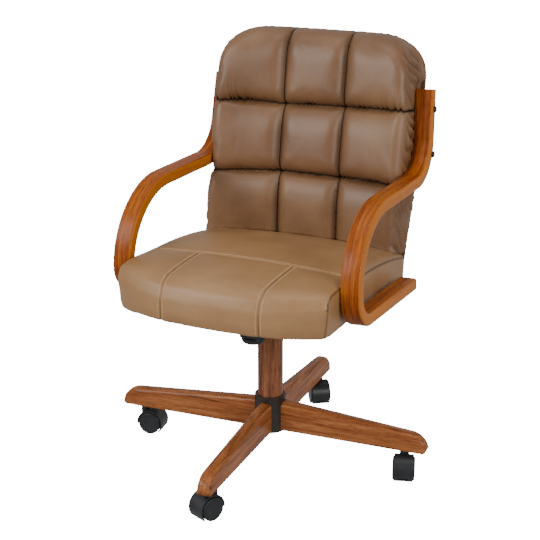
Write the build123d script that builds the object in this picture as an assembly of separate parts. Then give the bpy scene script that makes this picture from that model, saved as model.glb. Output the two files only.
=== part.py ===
from build123d import *
import math
import os

# Office armchair on a four-leg caster base. Millimetres, +Z up, the sitter faces -Y.
# The origin is on the floor under the column axis. Left and right are the sitter's, left is +X.

os.makedirs("parts", exist_ok=True)

# Fits: slip and run are radial clearances, the gaps keep neighbouring faces apart
slip = 0.1
run = 0.05
seat_gap = 0.3
face_gap = 0.2

# Reach of a cutting block that has to pass right through a piece
beyond = 400

# Base
wheel_radius = 25
leg_count = 4
base_turn = 3.3
leg_reach = 356
leg_width = 30
caster_headroom = 13
leg_bottom = wheel_radius * 2 + caster_headroom
leg_root_height = 66
leg_tip_height = 41
nose_length = 36
nose_foot = 12
foot_bevel = 5
leg_edge = 10
hub_radius = 34
hub_wall = 3
hub_cover = 12
hub_top = leg_bottom + leg_root_height + hub_cover
hub_lip = 4.5
hub_rim_round = 1.2
hub_plate_thickness = 4
hub_plate_inset = 0.5
screw_head = 3
socket_wall = 2.1
socket_end = 1.5
tube_radius = 19
tube_wall = 3
column_radius = 27.6
column_top = 292
leg_root = tube_radius + seat_gap

# Casters, turned about their stems to the headings seen in the photograph
stem_inset = 50
stem_reach = leg_reach - stem_inset
stem_radius = 5.5
stem_grip = 36
trail = 16
caster_headings = {"left": -72.6, "back": -56.6, "right": 8.4, "front": -113.6}
caster_half_width = 23.5
hood_half_width = 20.5
hood_clearance = 1.4
hood_wall = 3.6
hood_radius = wheel_radius + hood_clearance + hood_wall
hood_low_angle = -42
hood_front_angle = 185
hood_slot_half = hood_radius / 3
hood_slot_height = 3
hood_slot_low = hood_radius * 0.36
hood_slot_depth = hood_wall / 2
axle_lug = 6
web_half = 3.2
axle_radius = 4
boss_radius = 10
boss_gap = 6
boss_top = leg_bottom - boss_gap
stem_seat = 8
stem_end_gap = 0.5
axle_inset = 2.5
wheel_gap = 0.6
tread_round = 2.2
tread_wall = 4
wheel_hub_wall = 5
wheel_face_wall = 2
face_groove_width = 1

# Swivel and tilt mechanism
spindle_radius = 12.5
floor_low = 303
plate = 4
housing_half = 31
housing_nose_half = 21
housing_wall = 3
housing_front = -105
housing_rear = 45
housing_top = 352
housing_nose = 12
housing_tail = 27
housing_cheek = 26
spindle_rise = 12
collar_margin = 1
stop_radius = 7
pivot_y = -30
pivot_z = 338
pivot_radius = 7
torsion_radius = 17
torsion_wall = 2.5
knob_y = -83
knob_radius = 25
knob_low = 289
knob_low_round = 5
knob_top_round = 2
rib_count = 18
rib_radius = 2.6
rib_stand = 1.5
rib_shorter = 7
rib_lift = 1.2
rib_round = 1
washer_margin = 8
washer_thickness = 1.5
bolt_radius = 4
bolt_head_radius = 7.5
bolt_head_half = 3
bolt_end = 4
lever_thickness = 8
lever_half = 15
lever_tip = 12
lever_rise = 1
torsion_end_gap = 0.5
pivot_head = 4
pivot_head_rim = 3
ear_inner = 32.2
ear_half_high = 40
ear_half_low = 14
ear_below = 10
top_plate_half = 95

# Seat
seat_slope = 2.0
seat_bottom = 377
seat_front = -286
seat_rear = 206
seat_corner_y = -234
seat_half_low = 225
seat_half_high = 232
seat_rear_narrower = 4
crown_drop = 14
seat_front_top = 466
seat_rear_top = 441
seat_bulge = 103
side_steps = (42, 10, 0)
side_drops = (0, 7, 23)
board_thickness = 15
board_inset = 14
board_corner = 12
underside_spare = 20
waterfall = 34
seam_x = 107
seam_y = -111
seam_width = 4
seam_depth = 2.5

# Arms
arm_width = 40
arm_thickness = 26
arm_edge = 4.5
arm_end_round = 6
bar_end_round = 10
arm_side_gap = 0.6
arm_outer_x = seat_half_high + arm_side_gap + arm_width
arm_lean_z = 500
arm_lean = 2.56
upright_top = (269, 783)
rest_z = 603
upright_bend = 88
front_bend = 152
front_bend_y = -20
bar_rear = 143

# The lower bend brings the bottom bar's inner edge down to the seat's underside.
slope_rise = math.tan(math.radians(seat_slope))
bar_middle = seat_bottom + seat_gap + arm_thickness / 2 + arm_width * math.sin(math.radians(arm_lean))
lower_bend = (rest_z - front_bend + (front_bend_y - front_bend) * slope_rise - bar_middle) / (1 - slope_rise)

# Back
back_recline = 9
back_foot = (188.4, 444.0)
back_height = 452
back_lift = 3
back_narrower_low = 19
back_narrower_high = 13.5
back_half_low = seat_half_high - back_narrower_low
back_half_high = seat_half_high - back_narrower_high
back_overhang = 11
back_overhang_depth = 11
back_top_roll = 5
back_corner = 68
back_crown = 6
back_puff = 40
seam_groove = 26
back_depth = 62
shell_depth = 80
shell_drop = 38
shell_inset = 1.5
shell_round = 12
back_board_front = 24
back_board_thickness = 22
pocket_wall = 15
row_heights = (141.6, 294.4)
column_seam_x = 71
back_bolt_heights = (741, 646)
back_bolt_depth = 30


def save(shape, name):
    export_step(shape, "parts/" + name + ".step")


def rod(radius, low, high, x=0, y=0):
    return Pos(x, y, (low + high) / 2) * Cylinder(radius, high - low)


def ring(outer, inner, low, high):
    return rod(outer, low, high) - rod(inner, low - 1, high + 1)


def cross_rod(radius, low, high, y, z):
    return Pos((low + high) / 2, y, z) * Rot(0, 90, 0) * Cylinder(radius, high - low)


def block(x, y, z):
    size = (x[1] - x[0], y[1] - y[0], z[1] - z[0])
    middle = ((x[0] + x[1]) / 2, (y[0] + y[1]) / 2, (z[0] + z[1]) / 2)
    return Pos(*middle) * Box(*size)


def in_seat(shape):
    # The seat slopes down to the rear, turned where its underside crosses the column axis.
    return Pos(0, 0, seat_bottom) * Rot(-seat_slope, 0, 0) * Pos(0, 0, -seat_bottom) * shape


def in_back(shape):
    # Back frame: depth is measured rearward from the plane of the seams, height along the slope.
    return Pos(0, back_foot[0], back_foot[1]) * Rot(-back_recline, 0, 0) * shape


def in_arm(shape):
    # The arms lean in towards the top.
    pivot = Pos(arm_outer_x, 0, arm_lean_z)
    return pivot * Rot(0, -arm_lean, 0) * pivot.inverse() * shape


def mirrored(shape):
    return mirror(shape, about=Plane.YZ)


# Base

def leg_top(reach):
    share = (reach - leg_root) / (leg_reach - nose_length - leg_root)
    return leg_bottom + leg_root_height + (leg_tip_height - leg_root_height) * share


def leg_outline():
    root_low = Vector(leg_root, 0, leg_bottom)
    root_high = Vector(leg_root, 0, leg_top(leg_root))
    crest = Vector(leg_reach - nose_length, 0, leg_top(leg_reach - nose_length))
    nose = Vector(leg_reach, 0, leg_bottom + nose_foot)
    foot_high = Vector(leg_reach - foot_bevel / 5, 0, leg_bottom + foot_bevel)
    foot = Vector(leg_reach - foot_bevel, 0, leg_bottom)
    edges = [
        Line(root_low, root_high),
        Line(root_high, crest),
        TangentArc(crest, nose, tangent=crest - root_high),
        Line(nose, foot_high),
        Line(foot_high, foot),
        Line(foot, root_low),
    ]
    return make_face(edges)


leg_hole_radius = stem_radius + socket_wall
leg_hole_depth = stem_grip + socket_end
screw_radius = 3
screw_reach = 25.5
screw_length = 30


def leg():
    solid = extrude(leg_outline(), amount=leg_width / 2, both=True)
    upper = [
        edge for edge in solid.faces().filter_by(Axis.Y).edges()
        if edge.center().Z > leg_bottom + nose_foot + 1 and edge.center().X > leg_root + 1
    ]
    solid = fillet(upper, leg_edge)
    socket_hole = rod(leg_hole_radius + slip, leg_bottom - 1, leg_bottom + leg_hole_depth, stem_reach)
    screw_hole = rod(screw_radius + slip, leg_bottom - 1, leg_bottom + screw_length + 1, screw_reach)
    return solid - socket_hole - screw_hole


def around_base(index):
    return Rot(0, 0, base_turn + 360 / leg_count * index)


def hub_sleeve():
    body = ring(hub_radius, hub_radius - hub_wall, leg_bottom, hub_top)
    body += ring(hub_radius - hub_wall / 2, column_radius + slip, hub_top - hub_lip, hub_top)
    crest = leg_top(hub_radius - hub_wall) + face_gap
    arch_half = leg_width / 2 + face_gap
    arch = block((0, hub_radius + hub_wall), (-arch_half, arch_half), (leg_bottom - leg_edge, crest))
    arch = fillet(arch.edges().filter_by(Axis.X).sort_by(Axis.Z)[-2:], leg_edge)
    for index in range(leg_count):
        body -= around_base(index) * arch
    rim = body.edges().filter_by(GeomType.CIRCLE).sort_by(Axis.Z)[-2:]
    return fillet(rim, hub_rim_round)


def hub_plate():
    plate_low = leg_bottom - hub_plate_thickness
    body = ring(hub_radius - hub_plate_inset, tube_radius + slip, plate_low, leg_bottom)
    for index in range(leg_count):
        body -= around_base(index) * rod(screw_radius + slip, plate_low - 1, leg_bottom + 1, screw_reach)
    return body


def leg_screws():
    head_low = leg_bottom - hub_plate_thickness - screw_head
    screw = rod(screw_radius, head_low, leg_bottom + screw_length, screw_reach)
    screw += rod(screw_radius * 2, head_low, head_low + screw_head, screw_reach)
    return Compound([around_base(index) * screw for index in range(leg_count)])


def caster_sockets():
    flange_low = leg_bottom - socket_end
    flange = rod(boss_radius, flange_low, leg_bottom, stem_reach)
    sleeve = rod(leg_hole_radius, flange_low, leg_bottom + leg_hole_depth, stem_reach)
    hole = rod(stem_radius + run, flange_low - 1, leg_bottom + stem_grip, stem_reach)
    socket = flange + sleeve - hole
    return Compound([around_base(index) * socket for index in range(leg_count)])


tube_low = leg_bottom - hub_plate_thickness
tube_stand = 2
tube_top = column_top + tube_stand
bush_flange = 4
bush_length = 32
spindle_clear = 49
spindle_low = leg_bottom + spindle_clear


def column_tube():
    return ring(tube_radius, tube_radius - tube_wall, tube_low, tube_top)


def column_sleeve():
    return ring(column_radius, tube_radius + slip, leg_top(leg_root) + face_gap, column_top)


def column_bushes():
    outer = tube_radius - tube_wall - slip
    upper = ring(outer, spindle_radius + run, tube_top - bush_length, tube_top)
    upper += ring(tube_radius, spindle_radius + run, tube_top, tube_top + bush_flange)
    lower = ring(outer, spindle_radius + run, spindle_low + bush_flange, spindle_low + bush_flange + bush_length)
    return Compound([upper, lower])


# Casters, in a frame with the stem on the Z axis and the wheels trailing along +X

def caster_place(index, name):
    spot = around_base(index) * Pos(stem_reach, 0, 0)
    return Pos(spot.position) * Rot(0, 0, caster_headings[name])


def hood_sector():
    # The hood covers the wheels from low behind, over the top, to the axle's height in front.
    reach = hood_radius * 2
    low, high = math.radians(hood_low_angle), math.radians(hood_front_angle)
    corners = [(0, 0)]
    for angle in (low, low - 0.9, high + 0.45, high):
        corners.append((reach * math.cos(angle), reach * math.sin(angle)))
    open_wedge = Plane.XZ * make_face(Polyline(*corners, close=True))
    return extrude(open_wedge, amount=caster_half_width, both=True)


def hood():
    around_axle = Pos(trail, 0, wheel_radius) * Rot(90, 0, 0)
    fender = Cylinder(hood_radius, hood_half_width * 2) - Cylinder(hood_radius - hood_wall, hood_half_width * 3)
    web = Cylinder(hood_radius - 1, web_half * 2)
    cut = Pos(trail, 0, wheel_radius) * hood_sector()
    body = around_axle * (fender + web) - cut
    body += around_axle * Cylinder(axle_radius + axle_lug, web_half * 2)
    boss = rod(boss_radius, wheel_radius + trail, boss_top)
    wheel_space = around_axle * Cylinder(hood_radius - hood_wall, hood_half_width * 3)
    boss -= wheel_space - around_axle * Cylinder(hood_radius * 2, web_half * 2)
    body += boss
    body -= rod(stem_radius + slip, boss_top - stem_seat, boss_top + 1)
    body -= around_axle * Cylinder(axle_radius + slip, hood_half_width * 2)
    slot = block((trail, trail + hood_radius + 1), (-hood_slot_half, hood_slot_half),
                 (hood_slot_low, hood_slot_low + hood_slot_height))
    slot -= around_axle * Cylinder(hood_radius - hood_slot_depth, hood_half_width * 3)
    return body - slot


def caster_stem():
    return rod(stem_radius, boss_top - stem_seat, leg_bottom + stem_grip - stem_end_gap)


def caster_axle():
    return Pos(trail, 0, wheel_radius) * Rot(90, 0, 0) * Cylinder(axle_radius, (caster_half_width - axle_inset) * 2)


def caster_wheel(side):
    inner = web_half + wheel_gap
    width = caster_half_width - inner
    tread = Cylinder(wheel_radius, width)
    tread = fillet(tread.edges(), tread_round)
    rim = wheel_radius - tread_wall
    dish = Pos(0, 0, -width / 2) * (Cylinder(rim, width) - Cylinder(axle_radius + wheel_hub_wall, width))
    bore = Pos(0, 0, -width / 2) * Cylinder(axle_radius + run, (width - wheel_face_wall) * 2)
    groove_round = Cylinder(rim, face_groove_width) - Cylinder(rim - face_groove_width, face_groove_width * 2)
    face_groove = Pos(0, 0, width / 2) * groove_round
    wheel = tread - dish - bore - face_groove
    turn = -90 if side > 0 else 90
    return Pos(trail, side * (inner + width / 2), wheel_radius) * Rot(turn, 0, 0) * wheel


# Swivel and tilt mechanism

collar_low = tube_top + bush_flange + face_gap
knob_height = floor_low - washer_thickness - seat_gap - knob_low
lever_high = pivot_z + lever_rise


def spindle():
    body = rod(spindle_radius, spindle_low, floor_low + plate + spindle_rise)
    return body + rod(tube_radius + collar_margin, collar_low, floor_low)


def housing_plan(inset, rear):
    # Straight cheeks, drawn in to a narrower nose ahead of the pivot.
    half, nose_half = housing_half - inset, housing_nose_half - inset
    front, shoulder = housing_front + inset, pivot_y - housing_cheek
    right = [(half, rear), (half, shoulder), (nose_half, front)]
    left = [(-x, y) for x, y in reversed(right)]
    return make_face(Polyline(*right, *left, close=True))


def tilt_housing():
    nose_top = housing_top - housing_nose
    side = Plane.YZ * make_face(Polyline(
        (housing_front, floor_low), (housing_rear, floor_low), (housing_rear, floor_low + housing_tail),
        (pivot_y + housing_cheek, housing_top), (pivot_y - housing_cheek, housing_top),
        (housing_front + housing_wall, nose_top), (housing_front, nose_top), close=True))
    body = extrude(side, amount=housing_half, both=True)
    body = body & extrude(Pos(0, 0, floor_low) * housing_plan(0, housing_rear), amount=housing_top)
    body -= extrude(Pos(0, 0, floor_low + plate) * housing_plan(housing_wall, housing_rear + 1), amount=housing_top)
    body -= rod(spindle_radius + slip, floor_low - 1, floor_low + plate + 1)
    body -= rod(bolt_radius + 1, floor_low - 1, floor_low + plate + 1, 0, knob_y)
    return body - cross_rod(pivot_radius + run, -housing_half - 1, housing_half + 1, pivot_y, pivot_z)


torsion_half = housing_half - housing_wall - torsion_end_gap
pivot_reach = ear_inner + plate + pivot_head


def torsion_lever():
    sleeve = cross_rod(torsion_radius, -torsion_half, torsion_half, pivot_y, pivot_z)
    arm = block((-lever_half, lever_half), (knob_y - lever_tip, pivot_y), (lever_high - lever_thickness, lever_high))
    hole = cross_rod(torsion_radius - torsion_wall, -torsion_half - 1, torsion_half + 1, pivot_y, pivot_z)
    bolt_hole = rod(bolt_radius + seat_gap, pivot_z - torsion_radius, pivot_z + torsion_radius, 0, knob_y)
    return sleeve + arm - hole - bolt_hole


def torsion_rubber():
    outer = cross_rod(torsion_radius - torsion_wall - slip, -torsion_half, torsion_half, pivot_y, pivot_z)
    return outer - cross_rod(pivot_radius + seat_gap, -torsion_half - 1, torsion_half + 1, pivot_y, pivot_z)


def pivot_axle():
    pin = cross_rod(pivot_radius, -pivot_reach, pivot_reach, pivot_y, pivot_z)
    head = cross_rod(pivot_radius + pivot_head_rim, ear_inner + plate, pivot_reach, pivot_y, pivot_z)
    return pin + head + mirrored(head)


def tension_bolt():
    hexagon = extrude(RegularPolygon(bolt_head_radius, 6), amount=bolt_head_half, both=True)
    head = Pos(0, knob_y, lever_high + bolt_head_half) * hexagon
    return rod(bolt_radius, knob_low - bolt_end, lever_high + 1, 0, knob_y) + head


def knob_washer():
    low = floor_low - washer_thickness
    disc = rod(bolt_radius + washer_margin, low, floor_low, 0, knob_y)
    return disc - rod(bolt_radius + 1, low - 1, floor_low + 1, 0, knob_y)


def tension_knob():
    body = Cylinder(knob_radius - rib_stand, knob_height)
    body = fillet(body.edges().sort_by(Axis.Z)[0], knob_low_round)
    body = fillet(body.edges().sort_by(Axis.Z)[-1], knob_top_round)
    rib = fillet(Cylinder(rib_radius, knob_height - rib_shorter).edges(), rib_round)
    for index in range(rib_count):
        body += Rot(0, 0, 360 / rib_count * index) * Pos(knob_radius - rib_radius, 0, rib_lift) * rib
    body -= Cylinder(bolt_radius + run, knob_height + 2)
    return Pos(0, knob_y, knob_low + knob_height / 2) * body


plate_low = seat_bottom - plate
plate_front = -110
plate_rear = 70
plate_corner = 14
plate_screw_inset = 15
plate_screw_x = top_plate_half - plate_screw_inset
plate_screw_y = (plate_front + plate_screw_inset, plate_rear - plate_screw_inset)
board_screw_spots = [(x, y) for y in plate_screw_y for x in (-plate_screw_x, plate_screw_x)]
wood_screw_radius = 2.5
wood_screw_length = 12
wood_screw_head = 2.5


def top_plate():
    flat = block((-top_plate_half, top_plate_half), (plate_front, plate_rear), (plate_low, seat_bottom))
    flat = fillet(flat.edges().filter_by(Axis.Z), plate_corner)
    for x, y in board_screw_spots:
        flat -= rod(wood_screw_radius + slip, plate_low - 1, seat_bottom + 1, x, y)
    outline = Plane.YZ * make_face(Polyline(
        (pivot_y - ear_half_high, plate_low + 1), (pivot_y + ear_half_high, plate_low + 1),
        (pivot_y + ear_half_low, pivot_z - ear_below), (pivot_y - ear_half_low, pivot_z - ear_below), close=True))
    ear = Pos(ear_inner, 0, 0) * extrude(outline, amount=plate)
    body = in_seat(flat)
    for side in (ear, mirrored(ear)):
        body += side
    return body - cross_rod(pivot_radius + slip, -pivot_reach, pivot_reach, pivot_y, pivot_z)


def tilt_stop():
    # A rubber post under the plate that meets the housing's front wall with the seat upright.
    stop_y = housing_front + housing_wall
    wall_top = housing_top - housing_nose
    low = wall_top + seat_gap + (stop_y + stop_radius) * math.sin(math.radians(seat_slope))
    return in_seat(rod(stop_radius, low, plate_low, 0, stop_y))


# Seat

def plan_outline(inset):
    # Bowed front, straight sides that draw in a little to the rear.
    half = seat_half_high - inset
    front = seat_front + inset
    corner = seat_corner_y + inset
    rear = seat_rear - inset
    edges = [
        ThreePointArc((-half, corner), (0, front), (half, corner)),
        Line((half, corner), (half - seat_rear_narrower, rear)),
        Line((half - seat_rear_narrower, rear), (-half + seat_rear_narrower, rear)),
        Line((-half + seat_rear_narrower, rear), (-half, corner)),
    ]
    return make_face(edges)


def seat_top(y):
    # The top of the cushion along its middle: a long arc, highest ahead of the cross seam.
    share = (y - seat_front) / (seat_rear - seat_front)
    chord = seat_front_top + (seat_rear_top - seat_front_top) * share
    return chord + seat_bulge * share * (1 - share)


def seat_profile(x, lower):
    # Side view at one distance from the middle: flat bottom, waterfall front, arched top.
    share = abs(x) / seat_half_high
    front = seat_front + (seat_corner_y - seat_front) * share ** 3
    lower = lower + crown_drop * share ** 2
    for step, drop in zip(side_steps, side_drops):
        if abs(x) == seat_half_high - step:
            lower = lower + drop
    knee = front + waterfall
    middle = (knee + seat_rear) / 2
    knee_top = seat_top(knee) - lower
    roll = waterfall * (1 - math.sqrt(0.5))
    low_front = (x, front, seat_bottom - underside_spare)
    high_front = (x, front, knee_top - waterfall)
    crest = (x, knee, knee_top)
    high_rear = (x, seat_rear, seat_top(seat_rear) - lower)
    low_rear = (x, seat_rear, seat_bottom - underside_spare)
    edges = [
        Line(low_rear, low_front),
        Line(low_front, high_front),
        ThreePointArc(high_front, (x, front + roll, knee_top - roll), crest),
        ThreePointArc(crest, (x, middle, seat_top(middle) - lower), high_rear),
        Line(high_rear, low_rear),
    ]
    return make_face(edges)


def seat_body(lower=0):
    half = [seam_x] + [seat_half_high - step for step in side_steps]
    stations = [-x for x in reversed(half)] + [0] + half
    return loft([seat_profile(x, lower) for x in stations])


def seat_cushion():
    body = seat_body()
    seam_half = seam_width / 2
    seam_span = (seat_bottom + board_thickness + seam_depth, seat_front_top + seat_bulge)
    seams = block((-seat_half_high, seat_half_high), (seam_y - seam_half, seam_y + seam_half), seam_span)
    for x in (-seam_x, seam_x):
        seams += block((x - seam_half, x + seam_half), (seat_front + waterfall, seam_y), seam_span)
    body -= seams - seat_body(seam_depth)
    # The sides draw in towards the bottom.
    draw = math.degrees(math.atan2(seat_half_high - seat_half_low, seat_rear_top - seat_bottom))
    side = Pos(seat_half_low, 0, seat_bottom) * Rot(0, draw, 0)
    side *= block((0, beyond), (-beyond, beyond), (-beyond, beyond))
    body = body - side - mirrored(side)
    pocket = extrude(Pos(0, 0, seat_bottom - 1) * plan_outline(board_inset - seat_gap),
                     amount=board_thickness + 1 + face_gap)
    under = block((-beyond, beyond), (-beyond, beyond), (seat_bottom - underside_spare * 3, seat_bottom))
    return body - in_seat(pocket) - in_seat(under)


bracket_y = (-70, 95)
bracket_half = 14
bracket_end = 4.5
bracket_corner = 6
bracket_grip = 97
bracket_screw_inset = 15
bracket_screw_pitch = 40
bar_screw_inset = 17
bracket_reach = (seat_half_high - bracket_grip, arm_outer_x - bracket_end)
first_screw_x = bracket_reach[0] + bracket_screw_inset
arm_screw_x = (first_screw_x, first_screw_x + bracket_screw_pitch)
bar_screw_x = arm_outer_x - bar_screw_inset


def bracket_screw_spots():
    spots = []
    for y in bracket_y:
        for x in arm_screw_x + (bar_screw_x,):
            spots.append((x, y))
            spots.append((-x, y))
    return spots


def seat_board():
    board = extrude(Pos(0, 0, seat_bottom) * plan_outline(board_inset), amount=board_thickness)
    board = fillet(board.edges().filter_by(Axis.Z), board_corner)
    for x, y in board_screw_spots + bracket_screw_spots():
        board -= rod(wood_screw_radius + slip, seat_bottom - 1, seat_bottom + wood_screw_length + 1, x, y)
    return in_seat(board)


def wood_screw(x, y):
    head_low = plate_low - wood_screw_head
    screw = rod(wood_screw_radius, head_low, seat_bottom + wood_screw_length, x, y)
    return screw + rod(wood_screw_radius * 2, head_low, plate_low, x, y)


def plate_screws():
    return Compound([in_seat(wood_screw(x, y)) for x, y in board_screw_spots])


def arm_brackets():
    strips = []
    for y in bracket_y:
        strip = block(bracket_reach, (y - bracket_half, y + bracket_half), (plate_low, seat_bottom))
        strip = fillet(strip.edges().filter_by(Axis.Z), bracket_corner)
        for x in arm_screw_x + (bar_screw_x,):
            strip -= rod(wood_screw_radius + slip, plate_low - 1, seat_bottom + 1, x, y)
        strips.append(in_seat(strip))
        strips.append(mirrored(in_seat(strip)))
    return Compound(strips)


def bracket_screws():
    return Compound([in_seat(wood_screw(x, y)) for x, y in bracket_screw_spots()])


# Arms: one bent strip each, drawn as its middle line with an offset to either side

def strip_outline(spare=0):
    # The spare widens the strip on both faces, for the room that a neighbour leaves round it.
    slope = math.radians(back_recline)
    corner_y = upright_top[0] - (upright_top[1] - rest_z) * math.tan(slope)
    upright_length = (upright_top[1] - rest_z) / math.cos(slope)
    upright_turn = 90 - back_recline
    setback = upright_bend * math.tan(math.radians(upright_turn / 2))
    bar_start = front_bend_y - front_bend + lower_bend
    moves = [
        (upright_length - setback, 0),
        (upright_bend, -upright_turn),
        (corner_y - setback - front_bend_y, 0),
        (front_bend, 90),
        (lower_bend, 90 - seat_slope),
        (bar_rear - bar_start, 0),
    ]
    place, heading = Vector(*upright_top), -90 - back_recline
    half = arm_thickness / 2 + spare
    sides = {half: [], -half: []}

    def beside(spot, angle, offset):
        normal = math.radians(angle + 90)
        return spot + Vector(math.cos(normal), math.sin(normal)) * offset

    for length, turn in moves:
        if turn == 0:
            ahead = Vector(math.cos(math.radians(heading)), math.sin(math.radians(heading)))
            end = place + ahead * length
            for offset, edges in sides.items():
                edges.append(Line(beside(place, heading, offset), beside(end, heading, offset)))
        else:
            side = math.copysign(1, turn)
            centre = beside(place, heading, side * length)
            middle = beside(centre, heading + turn / 2, -side * length)
            end = beside(centre, heading + turn, -side * length)
            for offset, edges in sides.items():
                edges.append(ThreePointArc(beside(place, heading, offset),
                                           beside(middle, heading + turn / 2, offset),
                                           beside(end, heading + turn, offset)))
            heading += turn
        place = end
    first, second = sides[half], sides[-half]
    caps = [Line(first[0] @ 0, second[0] @ 0), Line(first[-1] @ 1, second[-1] @ 1)]
    return make_face(first + second + caps)


def arm_bar():
    strip = extrude(Plane.YZ * strip_outline(), amount=arm_width)
    strip = Pos(arm_outer_x - arm_width, 0, 0) * strip
    top_ends = strip.edges().filter_by(Axis.X).filter_by(
        lambda edge: edge.center().Z > upright_top[1] - arm_thickness)
    strip = fillet(top_ends, arm_end_round)
    bar_ends = strip.edges().filter_by(Axis.X).filter_by(
        lambda edge: edge.center().Y > bar_rear - bar_end_round and edge.center().Z < seat_bottom + arm_width)
    strip = fillet(bar_ends, bar_end_round)
    strip = fillet(strip.faces().filter_by(Axis.X).edges(), arm_edge)
    return strip


back_bolt_radius = 4
back_bolt_grip = 38
back_bolt_reach = back_half_low - back_bolt_grip
back_bolt_head = 7
back_bolt_head_height = 4
back_bolt_head_round = 3


def back_bolt_spots():
    spots = []
    for height in back_bolt_heights:
        along = (height - back_foot[1]) / math.cos(math.radians(back_recline))
        along += back_bolt_depth * math.tan(math.radians(back_recline))
        spot = in_back(Pos(0, back_bolt_depth, along)).position
        spots.append((spot.Y, spot.Z))
    return spots


def bolt_holes(radius):
    holes = None
    for y, z in back_bolt_spots():
        hole = cross_rod(radius, back_bolt_reach - 1, arm_outer_x + arm_width, y, z)
        holes = hole if holes is None else holes + hole
    return in_arm(holes)


def arm():
    body = in_arm(arm_bar())
    body -= bolt_holes(back_bolt_radius + slip)
    for x, y in bracket_screw_spots():
        if x == bar_screw_x:
            body -= in_seat(rod(wood_screw_radius + slip, plate_low, seat_bottom + wood_screw_length + 1, x, y))
    return body


def back_bolts():
    bolts = []
    for y, z in back_bolt_spots():
        bolt = cross_rod(back_bolt_radius, back_bolt_reach, arm_outer_x + 1, y, z)
        head = cross_rod(back_bolt_head, arm_outer_x, arm_outer_x + back_bolt_head_height, y, z)
        head = fillet(head.edges().sort_by(Axis.X)[-1], back_bolt_head_round)
        bolts.append(in_arm(bolt + head))
        bolts.append(mirrored(in_arm(bolt + head)))
    return Compound(bolts)


# Back

def back_outline(inset, low, wider):
    half_low, half_high = back_half_low + wider - inset, back_half_high + wider - inset
    top = back_height - inset
    shoulder = Vector(half_high, top - back_crown)
    edges = [
        Line((-half_low, low), (half_low, low)),
        Line((half_low, low), shoulder),
        ThreePointArc(shoulder, (0, top), (-half_high, top - back_crown)),
        Line((-half_high, top - back_crown), (-half_low, low)),
    ]
    face = make_face(edges)
    return fillet(face.vertices().sort_by(Axis.Y)[-2:], back_corner - inset)


def back_slab(inset, front, rear, low, wider=0):
    # Drawn in the back frame's X and height, then pushed out rearward from front to rear.
    face = Plane.XZ * back_outline(inset, low, wider)
    return Pos(0, front, 0) * extrude(face, amount=-(rear - front))


def arm_room():
    # The puffed front overhangs the uprights; this is cut away where the arms bend forward past it.
    strip = extrude(Plane.YZ * strip_outline(seat_gap), amount=arm_width)
    return in_arm(Pos(arm_outer_x - arm_width - seat_gap, 0, 0) * strip)


def back_cushion():
    body = back_slab(back_top_roll, -back_puff, back_overhang_depth, back_lift, back_top_roll + back_overhang)
    rim = body.edges().filter_by(lambda edge: abs(edge.center().Y + back_puff) < 0.1)
    body = fillet(rim, seam_groove)
    body += back_slab(0, back_overhang_depth, back_depth, back_lift)
    reach = back_half_high * 2 + beyond
    for height in row_heights:
        body -= Pos(0, -back_puff - 1, height) * Rot(0, 90, 0) * Cylinder(seam_groove + 1, reach)
    for x in (-column_seam_x, column_seam_x):
        body -= Pos(x, -back_puff - 1, back_height / 2) * Cylinder(seam_groove + 1, back_height + beyond)
    body -= back_slab(pocket_wall, back_board_front - face_gap, back_depth + 1, pocket_wall)
    body = in_back(body)
    for side_room in (arm_room(), bolt_holes(back_bolt_radius + seat_gap)):
        body -= side_room
        body -= mirrored(side_room)
    return body


def back_board():
    inset = pocket_wall + seat_gap
    body = back_slab(inset, back_board_front, back_board_front + back_board_thickness, inset)
    body = in_back(body)
    return body - bolt_holes(back_bolt_radius + slip) - mirrored(bolt_holes(back_bolt_radius + slip))


def back_shell():
    inset = pocket_wall + seat_gap
    plug = back_slab(inset, back_board_front + back_board_thickness, back_depth + 1, inset)
    panel = back_slab(shell_inset, back_depth + face_gap, shell_depth, -shell_drop)
    rim = panel.edges().filter_by(lambda edge: abs(edge.center().Y - shell_depth) < 0.1)
    panel = fillet(rim, shell_round)
    return in_back(panel + plug)


# Write every node

save(hub_sleeve(), "hub_sleeve")
save(hub_plate(), "hub_plate")
save(leg_screws(), "leg_screws")
save(caster_sockets(), "caster_sockets")
save(column_tube(), "column_tube")
save(column_sleeve(), "column_sleeve")
save(column_bushes(), "column_bushes")

for index, name in enumerate(caster_headings):
    save(around_base(index) * leg(), "leg_" + name)
    place = caster_place(index, name)
    save(place * hood(), "caster_hood_" + name)
    save(place * caster_stem(), "caster_stem_" + name)
    save(place * caster_axle(), "caster_axle_" + name)
    save(place * caster_wheel(1), "caster_wheel_" + name + "_1")
    save(place * caster_wheel(-1), "caster_wheel_" + name + "_2")

save(spindle(), "spindle")
save(tilt_housing(), "tilt_housing")
save(torsion_lever(), "torsion_lever")
save(torsion_rubber(), "torsion_rubber")
save(pivot_axle(), "pivot_axle")
save(tension_bolt(), "tension_bolt")
save(knob_washer(), "knob_washer")
save(tension_knob(), "tension_knob")
save(top_plate(), "top_plate")
save(tilt_stop(), "tilt_stop")

save(seat_board(), "seat_board")
save(seat_cushion(), "seat_cushion")
save(plate_screws(), "plate_screws")
save(arm_brackets(), "arm_brackets")
save(bracket_screws(), "bracket_screws")

arm_left = arm()
save(arm_left, "arm_left")
save(mirrored(arm_left), "arm_right")
save(back_bolts(), "back_bolts")
save(back_cushion(), "back_cushion")
save(back_board(), "back_board")
save(back_shell(), "back_shell")
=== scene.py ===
import math

import bpy
import numpy as np
from mathutils import Matrix, Vector, noise
from mathutils.bvhtree import BVHTree


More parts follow.
